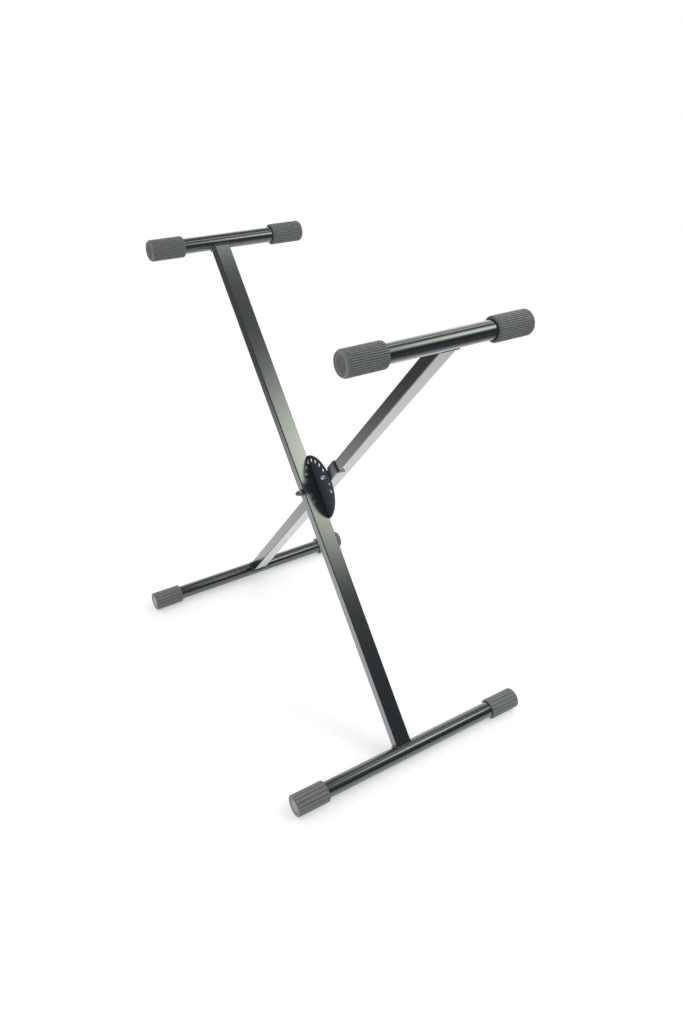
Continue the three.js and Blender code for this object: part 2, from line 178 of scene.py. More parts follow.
def sweep_floor():
    """The floor: a broad disc just under the rubber caps."""
    shape = bmesh.new()
    bmesh.ops.create_circle(shape, cap_ends=True, segments=96, radius=floor_radius)
    floor = object_of("floor", mesh_of("floor", shape))

    material = bpy.data.materials.new("white_floor")
    material.use_nodes = True
    tree = material.node_tree
    tree.nodes.clear()
    spot = add_node(tree, "ShaderNodeTexCoord").outputs["Object"]
    seen, mirrored = rays(tree)
    even = ranged(tree, distance_along(tree, spot), *shadow_reach, smooth=True)
    aside = distance_along(tree, spot, (paper_way[1], -paper_way[0], 0.0))
    on_paper = ranged(tree, work_out(tree, "ABSOLUTE", aside), paper_edge[1], paper_edge[0],
                      smooth=True)
    matt = made(tree, "ShaderNodeBsdfDiffuse", Color=floor_colour)
    glow, plain, paper, room = (
        made(tree, "ShaderNodeEmission", Color=white, Strength=strength)
        for strength in (work_out(tree, "MULTIPLY", seen, floor_glow), 1.0, paper_shine,
                         room_shine))
    near = joined(tree, "ShaderNodeAddShader", matt, glow)
    direct = joined(tree, "ShaderNodeMixShader", near, plain,
                    Fac=work_out(tree, "MULTIPLY", seen, even))
    gloss = joined(tree, "ShaderNodeMixShader", room,
                   joined(tree, "ShaderNodeAddShader", matt, paper), Fac=on_paper)
    add_node(tree, "ShaderNodeOutputMaterial",
             Surface=joined(tree, "ShaderNodeMixShader", direct, gloss, Fac=mirrored))
    floor.data.materials.append(material)


def white_world():
    """White for the camera, an even soft light, and the paper and the room for the gloss."""
    world = bpy.data.worlds.new("white_surroundings")
    bpy.context.scene.world = world
    world.use_nodes = True
    tree = world.node_tree
    tree.nodes.clear()
    way = add_node(tree, "ShaderNodeTexCoord").outputs["Generated"]
    seen, mirrored = rays(tree)
    upward = add_node(tree, "ShaderNodeSeparateXYZ", Vector=way).outputs["Z"]
    room = ranged(tree, upward, *room_heights, room_shine_low, room_shine_high, smooth=True)
    ahead = distance_along(tree, way, Vector((*paper_way, far_paper_rise)).normalized())
    on_paper, in_room = (math.cos(angle) for angle in far_paper_spread)
    paper = ranged(tree, ahead, in_room, on_paper, room, far_paper_shine, smooth=True)
    light, gloss = (made(tree, "ShaderNodeBackground", Color=white, Strength=strength)
                    for strength in (ranged(tree, seen, low=ambient_level), paper))
    add_node(tree, "ShaderNodeOutputWorld",
             Surface=joined(tree, "ShaderNodeMixShader", light, gloss, Fac=mirrored))


sweep_floor()
white_world()


# ==== Lamps ===================================================================================
# Two soft panels, which are what the long highlights on the round bars are: a broad one beside
# the camera, faintly green, and a narrow one overhead. A third, very large and weak, fills from
# the far side.


def soft_panel(name, place, towards, size, level, colour, soft=0.0):
    """An area lamp of `size` that looks `level` times as bright as white in its middle, and
    fades towards its sides over the share `soft` of its size."""
    data = bpy.data.lights.new(name, "AREA")
    data.shape = "RECTANGLE"
    data.size, data.size_y = size
    data.energy = level * math.pi * size[0] * size[1]
    data.color = colour
    if soft:
        data.use_nodes = True
        tree = data.node_tree
        spot = add_node(tree, "ShaderNodeNewGeometry").outputs["Parametric"]
        parts = add_node(tree, "ShaderNodeSeparateXYZ", Vector=spot).outputs
        across, up = (work_out(tree, "ABSOLUTE", work_out(tree, "SUBTRACT", parts[way], 0.5))
                      for way in "XY")
        fade, fade_up = (ranged(tree, off, 0.5, 0.5 - soft / 2, smooth=True)
                         for off in (across, up))
        tree.links.new(work_out(tree, "MULTIPLY", fade, fade_up),
                       tree.nodes["Emission"].inputs["Strength"])
    lamp = object_of(name, data)
    lamp.location = place
    lamp.rotation_euler = (Vector(towards) - lamp.location).to_track_quat("-Z", "Y").to_euler()


soft_panel("broad_panel", (0.98, 0.90, 1.60), (0.0, 0.90, 0.60), (1.22, 1.10), 6.6,
           (0.90, 1.0, 0.84), soft=1.0)
soft_panel("overhead_panel", (0.05, 0.70, 1.86), (0.0, 0.70, 0.5), (1.10, 0.30), 2.8,
           (0.96, 1.0, 0.99), soft=0.4)
soft_panel("far_panel", (-1.7, -1.2, 1.5), (0.0, 0.0, 0.4), (3.0, 2.2), 0.20, (1.0, 1.0, 1.0))


# ==== Arms ====================================================================================
# Two straight lengths of 20 x 30 mm steel box section with rounded corners, 1.2 mm in the wall.
# Each end is hollowed to the round bar it is welded to, and the arms are drilled before they
# are powder coated in gloss black.

tube_width, tube_depth, tube_wall, tube_corner = 0.020, 0.030, 0.0012, 0.0015
arm_gap = 0.006                # between the arms' inner faces
fit_gap = 0.0003
sleeve_radius, guide_radius = 0.005, 0.0055
pin_radius, lock_hole_radius, rivet_radius = 0.0035, 0.00425, 0.002
lock_circle = 0.053
lock_pitch = math.radians(15.3)
holes_closing, holes_opening = 5, 2
saddle_start, saddle_length = 0.064, 0.028

pivot = Vector(next(j["pos_m"] for j in frame["joints"] if j["name"] == "fold"))
arms = ("plate_arm", "pin_arm")


def middle_of(node):
    """The middle of a CAD node's box."""
    low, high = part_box(node)
    return (low + high) / 2


def bar_radius(node):
    """The radius of a round CAD node that lies along Y."""
    low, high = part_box(node)
    return (high.z - low.z) / 2


def arm_lean(arm):
    """How far an arm leans from upright, towards +X."""
    top, foot = middle_of(f"{arm}_top_bar"), middle_of(f"{arm}_foot_bar")
    return math.atan2(top.x - foot.x, top.z - foot.z)


def arm_place(arm):
    """From an arm's own frame, with Z up the arm and its origin at the bolt, to the stand's."""
    return Matrix.Translation(pivot) @ Matrix.Rotation(arm_lean(arm), 4, "Y")


lean = abs(arm_lean("pin_arm"))
arm_reach = (middle_of("pin_arm_top_bar") - middle_of("pin_arm_foot_bar")).xz.length / 2


def mesh_from_loops(name, loops):
    """Quads between loops of equal count, and from the last back to the first."""
    shape = bmesh.new()
    rings = [[shape.verts.new(point) for point in loop] for loop in loops]
    count = len(rings[0])
    for ring, after in zip(rings, rings[1:] + rings[:1]):
        for i in range(count):
            j = (i + 1) % count
            shape.faces.new((ring[i], ring[j], after[j], after[i]))
    bmesh.ops.remove_doubles(shape, verts=shape.verts, dist=1e-7)
    bmesh.ops.recalc_face_normals(shape, faces=shape.faces)
    return mesh_of(name, shape)


def shade(mesh, sharp_from=35.0):
    """Smooth shading, with edges sharp from this angle."""
    mesh.shade_smooth()
    mesh.set_sharp_from_angle(angle=math.radians(sharp_from))


def modify(item, name, kind, **settings):
    """Puts a modifier on the item."""
    modifier = item.modifiers.new(name, kind)
    for label, value in settings.items():
        setattr(modifier, label, value)


def settled(item, sharp_from=35.0):
    """The item with its modifiers worked into its mesh."""
    mesh = bpy.data.meshes.new_from_object(
        item.evaluated_get(bpy.context.evaluated_depsgraph_get()))
    item.modifiers.clear()
    item.data = mesh
    mesh.name = item.name
    shade(mesh, sharp_from)
    return item


def drill(item, rods):
    """Cuts rods, each (radius, start, end), out of the item, and settles it."""
    shape = bmesh.new()
    for radius, start, end in rods:
        start, end = Vector(start), Vector(end)
        turn = (end - start).to_track_quat("Z", "Y").to_matrix().to_4x4()
        bmesh.ops.create_cone(shape, cap_ends=True, segments=32, radius1=radius, radius2=radius,
                              depth=(end - start).length,
                              matrix=Matrix.Translation((start + end) / 2) @ turn)
    cutter_mesh = mesh_of("drill", shape)
    cutter = object_of("drill", cutter_mesh)
    modify(item, "drilled", "BOOLEAN", operation="DIFFERENCE", solver="EXACT", object=cutter)
    settled(item)
    bpy.data.objects.remove(cutter)
    bpy.data.meshes.remove(cutter_mesh)


def section_outline(middle, grow, arc_steps=6, side_steps=10):
    """Points (x, y) round the box section, grown by `grow` all round."""
    half_x, half_y = tube_width / 2 + grow, tube_depth / 2 + grow
    r = tube_corner + grow
    corners = [(half_x - r, half_y - r), (r - half_x, half_y - r),
               (r - half_x, r - half_y), (half_x - r, r - half_y)]
    outline = []
    for k, (x, y) in enumerate(corners):
        for step in range(arc_steps + 1):
            angle = math.pi / 2 * (k + step / arc_steps)
            outline.append((x + r * math.cos(angle), middle + y + r * math.sin(angle)))
        after = corners[(k + 1) % 4]
        quarter = math.pi / 2 * (k + 1)
        goal = (after[0] + r * math.cos(quarter), middle + after[1] + r * math.sin(quarter))
        last = outline[-1]
        for step in range(1, side_steps):
            share = step / side_steps
            outline.append(tuple(a + (b - a) * share for a, b in zip(last, goal)))
    return outline


def cope(x, radius):
    """How far short of a bar's middle line a point at x across the arm meets the bar."""
    return math.sqrt(radius ** 2 - x ** 2)


def box_arm(arm, holes):
    """One arm's box section, hollowed at its ends, drilled and painted."""
    middle = middle_of(f"{arm}_tube").y
    top = bar_radius(f"{arm}_top_bar") + fit_gap
    foot = bar_radius(f"{arm}_foot_bar") + fit_gap
    outer = section_outline(middle, 0.0)
    inner = section_outline(middle, -tube_wall)
    trim = 0.004                # the last stretch of the section, before the hollowed end

    def at(outline, end, back):
        if end > 0:
            return [(x, y, arm_reach - cope(x, top) - back) for x, y in outline]
        return [(x, y, cope(x, foot) - arm_reach + back) for x, y in outline]

    loops = [at(outer, -1, 0), at(outer, -1, trim), at(outer, 1, trim), at(outer, 1, 0),
             at(inner, 1, 0), at(inner, -1, 0)]
    tube = object_of(f"{arm}_box_section", mesh_from_loops(f"{arm}_box_section", loops))
    drill(tube, holes)
    tube.data.transform(arm_place(arm))
    modify(tube, "flat_faces", "WEIGHTED_NORMAL", keep_sharp=True)
    settled(tube)
    tube.data.materials.clear()
    tube.data.materials.append(arm_paint)
    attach(tube, arm)
    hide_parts(f"{arm}_tube")


inner_face, outer_face = arm_gap / 2, arm_gap / 2 + tube_depth


def through_wall(radius, face, x, z):
    """A hole through one wall of a section, `face` being its depth."""
    past = tube_wall + 0.001
    return (radius, (x, face - past, z), (x, face + past, z))


sleeve_hole = (sleeve_radius + fit_gap, (0, -outer_face - 0.001, 0), (0, outer_face + 0.001, 0))
stow_angle = 2 * lean - holes_closing * lock_pitch
stow_hole = through_wall(lock_hole_radius, -inner_face, lock_circle * math.sin(stow_angle),
                         lock_circle * math.cos(stow_angle))
guide_hole = through_wall(guide_radius + fit_gap, inner_face, 0, lock_circle)
pin_hole = through_wall(pin_radius + fit_gap, outer_face, 0, lock_circle)
rivet_depth = (inner_face + outer_face) / 2
rivet_height = saddle_start + saddle_length / 2
rivet_hole = (rivet_radius + fit_gap, (-tube_width / 2 - 0.005, rivet_depth, rivet_height),
              (tube_wall + 0.001 - tube_width / 2, rivet_depth, rivet_height))


def shader_group(name, inputs, outputs):
    """An empty group of shader nodes with these numbers as its inputs, and its outputs."""
    tree = bpy.data.node_groups.new(name, "ShaderNodeTree")
    for label, value in inputs.items():
        tree.interface.new_socket(label, in_out="INPUT",
                                  socket_type="NodeSocketFloat").default_value = value
    for label in outputs:
        tree.interface.new_socket(label, in_out="OUTPUT", socket_type="NodeSocketFloat")
    return tree, tree.nodes.new("NodeGroupInput").outputs, tree.nodes.new("NodeGroupOutput").inputs


def noise(tree, scale, detail, roughness):
    """The value of a noise texture over the object."""
    return made(tree, "ShaderNodeTexNoise", Scale=scale, Detail=detail, Roughness=roughness,
                Vector=add_node(tree, "ShaderNodeTexCoord").outputs["Object"])


def facing(tree, way):
    """How far a surface looks along X, Y or Z."""
    normal = add_node(tree, "ShaderNodeNewGeometry").outputs["Normal"]
    return add_node(tree, "ShaderNodeSeparateXYZ", Vector=normal).outputs[way]


def coat_surface():
    """The skin of a sprayed or dipped coat: long soft ripples with finer ones over them, and a
    slow drift of its tone."""
    tree, given, result = shader_group("coat_surface", {"Ripple Size": 0.0016},
                                       ("Height", "Drift"))
    per_metre = work_out(tree, "DIVIDE", 1.0, given["Ripple Size"])
    broad = noise(tree, per_metre, 1.0, 0.4)
    fine = noise(tree, work_out(tree, "MULTIPLY", per_metre, 3.7), 2.0, 0.5)
    about_half = work_out(tree, "SUBTRACT", noise(tree, 14.0, 3.0, 0.55), 0.5)
    drift = work_out(tree, "MULTIPLY_ADD", about_half, 0.5, 0.5, clamp=True)
    tree.links.new(work_out(tree, "MULTIPLY_ADD", fine, 0.3, broad), result["Height"])
    tree.links.new(drift, result["Drift"])
    return tree


def settled_dust():
    """Where fine pale dust lies: on faces that look up, in soft patches with a few specks."""
    tree, given, result = shader_group("settled_dust", {"Amount": 0.3, "Patch Size": 0.02},
                                       ("Mask",))
    facing_up = ranged(tree, facing(tree, "Z"), 0.1, 1.0, smooth=True)
    patches = noise(tree, work_out(tree, "DIVIDE", 1.0, given["Patch Size"]), 4.0, 0.6)
    specks = ranged(tree, noise(tree, 900.0, 2.0, 0.7), 0.55, 0.75, 0.35, 1.0)
    mask = work_out(tree, "MULTIPLY", work_out(tree, "MULTIPLY", facing_up, patches), specks)
    tree.links.new(work_out(tree, "MULTIPLY", mask, given["Amount"], clamp=True), result["Mask"])
    return tree


def worn_and_lit_edges():
    """A mask along corners and rims, broken in places. Painted paler, it is handling wear on the
    coats, and a painted highlight on the rubber caps.
    """
    tree, given, result = shader_group(
        "worn_and_lit_edges", {"Width": 0.0012, "Amount": 0.5, "Break Size": 0.012}, ("Mask",))
    same = add_node(tree, "ShaderNodeVectorMath", operation="DOT_PRODUCT",
                    Vector=add_node(tree, "ShaderNodeNewGeometry").outputs["Normal"])
    tree.links.new(made(tree, "ShaderNodeBevel", samples=4, Radius=given["Width"]),
                   same.inputs[1])
    edge = ranged(tree, same.outputs["Value"], 0.995, 0.93, smooth=True)
    breaks = noise(tree, work_out(tree, "DIVIDE", 1.0, given["Break Size"]), 4.0, 0.65)
    mask = work_out(tree, "MULTIPLY", edge, ranged(tree, breaks, 0.45, 0.7))
    tree.links.new(work_out(tree, "MULTIPLY", mask, given["Amount"], clamp=True), result["Mask"])
    return tree


# the edge group marks corners and rims: handling wear on the coats, a painted highlight on the
# rubber caps
surface_groups = {"coat": coat_surface(), "dust": settled_dust(), "rub": worn_and_lit_edges()}


def group_node(tree, name, **values):
    """The outputs of one of the surface groups, with these inputs."""
    node = tree.nodes.new("ShaderNodeGroup")
    node.node_tree = surface_groups[name]
    for label, value in values.items():
        node.inputs[label.replace("_", " ")].default_value = value
    return node.outputs


def blend_colour(tree, share, first, second):
    """A colour between two, by a socket. Each of the two is a colour or a socket."""
    mix = tree.nodes.new("ShaderNodeMix")
    mix.data_type = "RGBA"
    tree.links.new(share, mix.inputs["Factor"])
    for socket, colour in zip((mix.inputs[6], mix.inputs[7]), (first, second)):
        if isinstance(colour, tuple):
            socket.default_value = (*colour, 1.0)
        else:
            tree.links.new(colour, socket)
    return mix.outputs[2]


def new_finish(name, **settings):
    """A material, its tree and its shader, with these plain settings on the shader."""
    material = bpy.data.materials.new(name)
    material.use_nodes = True
    shader = material.node_tree.nodes["Principled BSDF"]
    for label, value in settings.items():
        shader.inputs[label.replace("_", " ")].default_value = value
    return material, material.node_tree, shader


def feed(tree, shader, tone, roughness, height, strength, distance):
    """Gives a shader its colour and roughness, and its normal from a height through a bump."""
    bump = made(tree, "ShaderNodeBump", Strength=strength, Distance=distance, Height=height)
    for socket, label in ((tone, "Base Color"), (roughness, "Roughness"), (bump, "Normal")):
        tree.links.new(socket, shader.inputs[label])


def coated_steel(name, dark, pale, rubbed, roughness, ripple, ripple_depth, dust, index,
                 clear_coat=1.0):
    """Black coated steel: two near tones in soft clouds, ripples, rubbed edges and dust."""
    material, tree, paint = new_finish(name, IOR=index, Coat_IOR=index, Coat_Weight=clear_coat,
                                       Coat_Roughness=sum(roughness) / 2)
    coat = group_node(tree, "coat", Ripple_Size=ripple)
    edges = group_node(tree, "rub", Amount=0.4)["Mask"]
    dusty = group_node(tree, "dust", Amount=dust)["Mask"]
    tone = blend_colour(tree, coat["Drift"], dark, pale)
    tone = blend_colour(tree, edges, tone, rubbed)
    tone = blend_colour(tree, dusty, tone, (0.34, 0.34, 0.33))
    rough = ranged(tree, coat["Drift"], low=roughness[0], high=roughness[1])
    rough = work_out(tree, "MULTIPLY_ADD", edges, 0.12, rough)
    rough = work_out(tree, "MULTIPLY_ADD", dusty, 0.5, rough, clamp=True)
    feed(tree, paint, tone, rough, coat["Height"], 1.0, ripple_depth)
    return material


arm_paint = coated_steel("gloss_black_powder_coat", (0.0150, 0.0200, 0.0250),
                         (0.0200, 0.0255, 0.0310), (0.06, 0.064, 0.068), (0.15, 0.20),
                         ripple=0.0018, ripple_depth=0.0000015, dust=0.06, index=1.65)
box_arm("plate_arm", [sleeve_hole, stow_hole])
box_arm("pin_arm", [sleeve_hole, guide_hole, pin_hole, rivet_hole])


# ==== Round bars ==============================================================================
# Four lengths of round steel tube, 28 mm for the keyboard and 30 mm for the feet, welded across
# the arms' ends and coated smoother and glossier than the arms. Their cut ends sit inside the
# rubber caps.

bar_wall = 0.0012


def lathe(name, profile, centre, steps):
    """A closed profile of (along Y, radius) points, turned about the line along Y at `centre`."""
    turns = [2 * math.pi * k / steps for k in range(steps)]
    mesh = mesh_from_loops(name, [
        [(centre.x + radius * math.sin(turn), y, centre.z + radius * math.cos(turn))
         for turn in turns] for y, radius in profile])
    shade(mesh)
    return object_of(name, mesh)


def tube_profile(start, end, radius, bore, ease=0.0004):
    """The section of a plain tube's wall, its edges eased."""
    return [(start, bore + ease), (start, radius - ease), (start + ease, radius),
            (end - ease, radius), (end, radius - ease), (end, bore + ease), (end - ease, bore),
            (start + ease, bore)]


bar_paint = coated_steel("gloss_black_bar_coat", (0.0140, 0.0200, 0.0240),
                         (0.0190, 0.0250, 0.0300), (0.04, 0.042, 0.043), (0.15, 0.21),
                         ripple=0.0035, ripple_depth=0.0000015, dust=0.06, index=1.55)
for arm in arms:
    for level in ("top", "foot"):
        node = f"{arm}_{level}_bar"
        low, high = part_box(node)
        radius = bar_radius(node)
        bar = lathe(f"{node}_tube", tube_profile(low.y, high.y, radius, radius - bar_wall),
                    middle_of(node), steps=128)
        bar.data.materials.append(bar_paint)
        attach(bar, arm)
        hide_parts(node)


# ==== Welds ===================================================================================
# One bead of weld runs right round each arm's end where it meets its bar. It was laid in short
# overlapping ripples, and the arms' coat has softened them.

weld_bead = {"Bead Radius": 0.0019, "Ripples": 84, "Ripple Depth": 0.06, "Unevenness": 0.35}
bead_offset = 0.0008           # of the bead's middle from both surfaces


def geometry_tree(name, **inputs):
    """An empty Geometry Nodes tree, whose inputs are a geometry and these names of each kind."""
    tree = bpy.data.node_groups.new(name, "GeometryNodeTree")
    for kind, labels in {"Geometry": ["Geometry"], **inputs}.items():
        for label in labels:
            tree.interface.new_socket(label, in_out="INPUT", socket_type=f"NodeSocket{kind}")
    tree.interface.new_socket("Geometry", in_out="OUTPUT", socket_type="NodeSocketGeometry")
    return tree, tree.nodes.new("NodeGroupInput").outputs


def ended(tree, given, geometry):
    """The tree, ended with this geometry made real and given its finish."""
    real = made(tree, "GeometryNodeRealizeInstances", Geometry=geometry)
    finished = made(tree, "GeometryNodeSetMaterial", Geometry=real, Material=given["Finish"])
    tree.links.new(finished, tree.nodes.new("NodeGroupOutput").inputs["Geometry"])
    return tree


def grown(name, tree, values, start=None, sharp_from=35.0):
    """Runs a Geometry Nodes tree with these input values, and gives the plain mesh it makes."""
    item = object_of(name, start or bpy.data.meshes.new(name))
    item.modifiers.new("grown", "NODES").node_group = tree
    modifier = item.modifiers["grown"]
    for socket in tree.interface.items_tree:
        if socket.in_out == "INPUT" and socket.name in values:
            modifier[socket.identifier] = values[socket.name]
    return settled(item, sharp_from)


def weld_tree():
    """A rippled bead along the closed loop of edges it is given."""
    tree, given = geometry_tree(
        "rippled_weld", Int=["Ripples"], Material=["Finish"],
        Float=["Bead Radius", "Ripple Depth", "Unevenness", "Seed"])
    path = made(tree, "GeometryNodeMeshToCurve", Mesh=given["Geometry"])
    even = made(tree, "GeometryNodeResampleCurve", Curve=path,
                Count=work_out(tree, "MULTIPLY", given["Ripples"], 5))
    turns = work_out(tree, "MULTIPLY", made(tree, "GeometryNodeSplineParameter"),
                     given["Ripples"])
    wave = work_out(tree, "SINE", work_out(tree, "MULTIPLY", turns, 2 * math.pi))
    uneven = made(tree, "ShaderNodeTexNoise", noise_dimensions="4D", W=given["Seed"],
                  Vector=made(tree, "GeometryNodeInputPosition"), Scale=260.0, Detail=1.0)
    wander = work_out(tree, "SUBTRACT", uneven, 0.5)
    swell = work_out(tree, "MULTIPLY_ADD", wave, given["Ripple Depth"], 1.0)
    swell = work_out(tree, "MULTIPLY_ADD", wander, given["Unevenness"], swell)
    ring = made(tree, "GeometryNodeCurvePrimitiveCircle", Resolution=14, Radius=1.0)
    skin = made(tree, "GeometryNodeCurveToMesh", Curve=even, Profile_Curve=ring,
                Scale=work_out(tree, "MULTIPLY", swell, given["Bead Radius"]))
    return ended(tree, given, skin)


def line_mesh(name, points, closed=False):
    """A line of edges through these points, for a tree to work on."""
    mesh = bpy.data.meshes.new(name)
    edges = [(k, k + 1) for k in range(len(points) - 1)] + [(len(points) - 1, 0)] * closed
    mesh.from_pydata(points, edges, [])
    return mesh


def weld_path(arm, level):
    """The closed line where the arm's section meets the bar, as a loop of edges."""
    middle = middle_of(f"{arm}_tube").y
    radius = bar_radius(f"{arm}_{level}_bar") + bead_offset
    end = 1 if level == "top" else -1
    outline = section_outline(middle, bead_offset, arc_steps=5, side_steps=12)
    points = [(x, y, end * (arm_reach - cope(x, radius))) for x, y in outline]
    path = line_mesh("weld_path", points, closed=True)
    path.transform(arm_place(arm))
    return path


rippled_weld = weld_tree()
for seed, (arm, level) in enumerate((a, b) for a in arms for b in ("top", "foot")):
    node = f"{arm}_{level}_weld"
    bead = grown(f"{node}_bead", rippled_weld,
                 {**weld_bead, "Seed": float(seed), "Finish": arm_paint}, weld_path(arm, level))
    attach(bead, arm)
    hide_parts(node)


# ==== Rubber caps =============================================================================
# Moulded grey rubber caps pushed on to the bars' ends. The top ones are thicker, with 36 fine
# ribs, a plain rounded band and a shallow round recess in the end. The foot ones have 16 narrow
# grooves that run out over the rim of a flat end.

cap_end = 0.004
top_cap = {"Rib Radius": 0.01875, "Ribs": 36, "Steps per Rib": 10, "Groove Share": 0.50,
           "Groove Floor": 0.25, "Groove Depth": 0.0011}
foot_cap = {"Rib Radius": 0.019, "Ribs": 16, "Steps per Rib": 24, "Groove Share": 0.20,
            "Groove Floor": 0.30, "Groove Depth": 0.0012}


def arc(y, radius, size, start, end, steps):
    """Points (along, radius) on an arc of this size, its angles in degrees from the radius."""
    angles = [math.radians(start + (end - start) * k / steps) for k in range(steps + 1)]
    return [(y + size * math.sin(angle), radius + size * math.cos(angle)) for angle in angles]


def bore_profile(length, bore):
    """A cap's mouth and the bore behind it, down to the middle of its inner end."""
    lip = 0.0005
    return [(length, bore + lip, 0), (length - lip, bore, 0), (cap_end + lip, bore, 0),
            (cap_end, bore - lip, 0), (cap_end, 0.0, 0)]


def top_cap_profile(length, bore):
    """The top cap's outline from its end's middle, as (along, radius, mark). The mark is 1 where
    it is ribbed, and below 0 on the rings of its end that get a painted highlight."""
    outer, recess, sunk, ring, ease = top_cap["Rib Radius"], 0.0110, 0.0021, 0.0005, 0.0003
    band, rounding, mouth = outer - 0.0007, 0.0035, 0.0030
    lip, lip_start, lip_end, ribs_start = outer - 0.0001, 0.0040, 0.0046, 0.0056
    # the middle of the end's rounded edge is painted paler: a painted highlight
    ring_highlights = (0, -0.3, -1, -0.3, 0, 0, 0, 0)
    points = [(sunk, 0.0, 0), (sunk, recess - ease, 0), (sunk - ease, recess + ease, -0.2),
              (ring + ease, recess + 5 * ease, -0.7), (ring, recess + 6 * ease, 0),
              (ring, band - rounding - 3 * ease, 0), (0.0001, band - rounding - ease, 0)]
    points += [(rounding - y, r, mark) for (y, r), mark in zip(
        arc(0.0, band - rounding, rounding, 90.0, 0.0, 7), ring_highlights)]
    points += [(lip_start - ease, band, 0), (lip_start, lip, 0), (lip_end, lip, 0),
               (lip_end + ease, band, 0), (ribs_start - 0.0004, band, 0), (ribs_start, outer, 1)]
    points += [(y, outer, 1) for y in (0.0070, length * 0.3, length * 0.5, length * 0.7)]
    points += [(y, r, 1) for y, r in arc(length - mouth, outer - mouth, mouth, 0.0, 84.0, 7)]
    return points + bore_profile(length, bore)


def foot_cap_profile(length, bore):
    """The foot cap's outline: a flat end with a proud rim, and grooves over its edge."""
    outer, rounding, mouth = foot_cap["Rib Radius"], 0.0016, 0.0020
    rim, sunk, ease = outer - 0.0034, 0.0004, 0.0004
    points = [(sunk, 0.0, 0), (sunk, rim - ease, 0), (sunk / 3, rim, 0), (0.0, rim + ease, 0)]
    points += [(rounding - y, r, 1)
               for y, r in arc(0.0, outer - rounding, rounding, 90.0, 0.0, 6)]
    points += [(length * share, outer, 1) for share in (0.1, 0.3, 0.5, 0.7, 0.9)]
    points += [(y, r, 1) for y, r in arc(length - mouth, outer - mouth, mouth, 0.0, 84.0, 6)]
    return points + bore_profile(length, bore)


def turning_tree():
    """A ribbed turning about Y. The line it is given is the outline, with the radius in X, the
    distance along in Y and a mark in Z: 1 where the ribs are cut, below 0 where a painted
    highlight goes."""
    tree, given = geometry_tree(
        "ribbed_turning", Int=["Ribs", "Steps per Rib"], Vector=["Place"], Material=["Finish"],
        Float=["Groove Share", "Groove Floor", "Groove Depth", "Rib Radius", "Turn"])
    # a sheet with one row for each point of the outline, and its columns round the axis
    points = made(tree, "GeometryNodeAttributeDomainSize", Geometry=given["Geometry"])
    steps = work_out(tree, "MULTIPLY", given["Ribs"], given["Steps per Rib"])
    sheet = made(tree, "GeometryNodeMeshGrid", Size_X=1.0, Size_Y=1.0,
                 Vertices_X=work_out(tree, "ADD", steps, 1.0), Vertices_Y=points)
    spot = made(tree, "GeometryNodeInputPosition")
    sheet_spot = add_node(tree, "ShaderNodeSeparateXYZ", Vector=spot).outputs
    around, down = (work_out(tree, "ADD", sheet_spot[way], 0.5) for way in "XY")
    row = work_out(tree, "ROUND", work_out(
        tree, "MULTIPLY", down, work_out(tree, "SUBTRACT", points, 1.0)))
    outline = made(tree, "GeometryNodeSampleIndex", data_type="FLOAT_VECTOR",
                   Geometry=given["Geometry"], Value=spot, Index=row)
    at = add_node(tree, "ShaderNodeSeparateXYZ", Vector=outline).outputs
    # from 0 on a rib's middle to 1 in the middle of the groove beside it
    turned = work_out(tree, "FRACT", work_out(tree, "MULTIPLY_ADD", around, given["Ribs"], 0.5))
    across = work_out(tree, "ABSOLUTE", work_out(tree, "SUBTRACT", turned, 0.5))
    across = work_out(tree, "MULTIPLY", across, 2.0)
    flat = work_out(tree, "MULTIPLY", given["Groove Share"], given["Groove Floor"])
    groove = ranged(tree, across, work_out(tree, "SUBTRACT", 1.0, given["Groove Share"]),
                    work_out(tree, "SUBTRACT", 1.0, flat), smooth=True)
    cut = work_out(tree, "MULTIPLY", groove, given["Groove Depth"])
    limit = work_out(tree, "SUBTRACT", given["Rib Radius"], cut)
    change = work_out(tree, "SUBTRACT", work_out(tree, "MINIMUM", at["X"], limit), at["X"])
    radius = work_out(tree, "MULTIPLY_ADD", change, at["Z"], at["X"])
    angle = work_out(tree, "MULTIPLY", around, 2 * math.pi)
    x, z = (work_out(tree, "MULTIPLY", radius, work_out(tree, wave, angle))
            for wave in ("SINE", "COSINE"))
    surface = sheet
    # marks for the rubber: the grooves, where shade is painted, and the rings of the top caps'
    # end, where a highlight is painted
    for mark, value in (("groove", work_out(tree, "MULTIPLY", groove, at["Z"])),
                        ("ring_highlight", work_out(tree, "MULTIPLY", at["Z"], -1.0, clamp=True))):
        surface = made(tree, "GeometryNodeStoreNamedAttribute", data_type="FLOAT", Name=mark,
                       Geometry=surface, Value=value)
    surface = made(tree, "GeometryNodeSetPosition", Geometry=surface,
                   Position=made(tree, "ShaderNodeCombineXYZ", X=x, Y=at["Y"], Z=z))
    surface = made(tree, "GeometryNodeMergeByDistance", Geometry=surface, Distance=0.000004)
    surface = made(tree, "GeometryNodeTransform", Geometry=surface, Translation=given["Place"],
                   Rotation=made(tree, "ShaderNodeCombineXYZ", Z=given["Turn"]))
    return ended(tree, given, surface)


def turned(name, profile, values, place, sharp_from=35.0):
    """A ribbed turning from an outline of (along, radius, mark), at this place."""
    start = line_mesh("outline", [(radius, y, mark) for y, radius, mark in profile])
    return grown(name, ribbed_turning, {**values, "Place": place}, start, sharp_from)


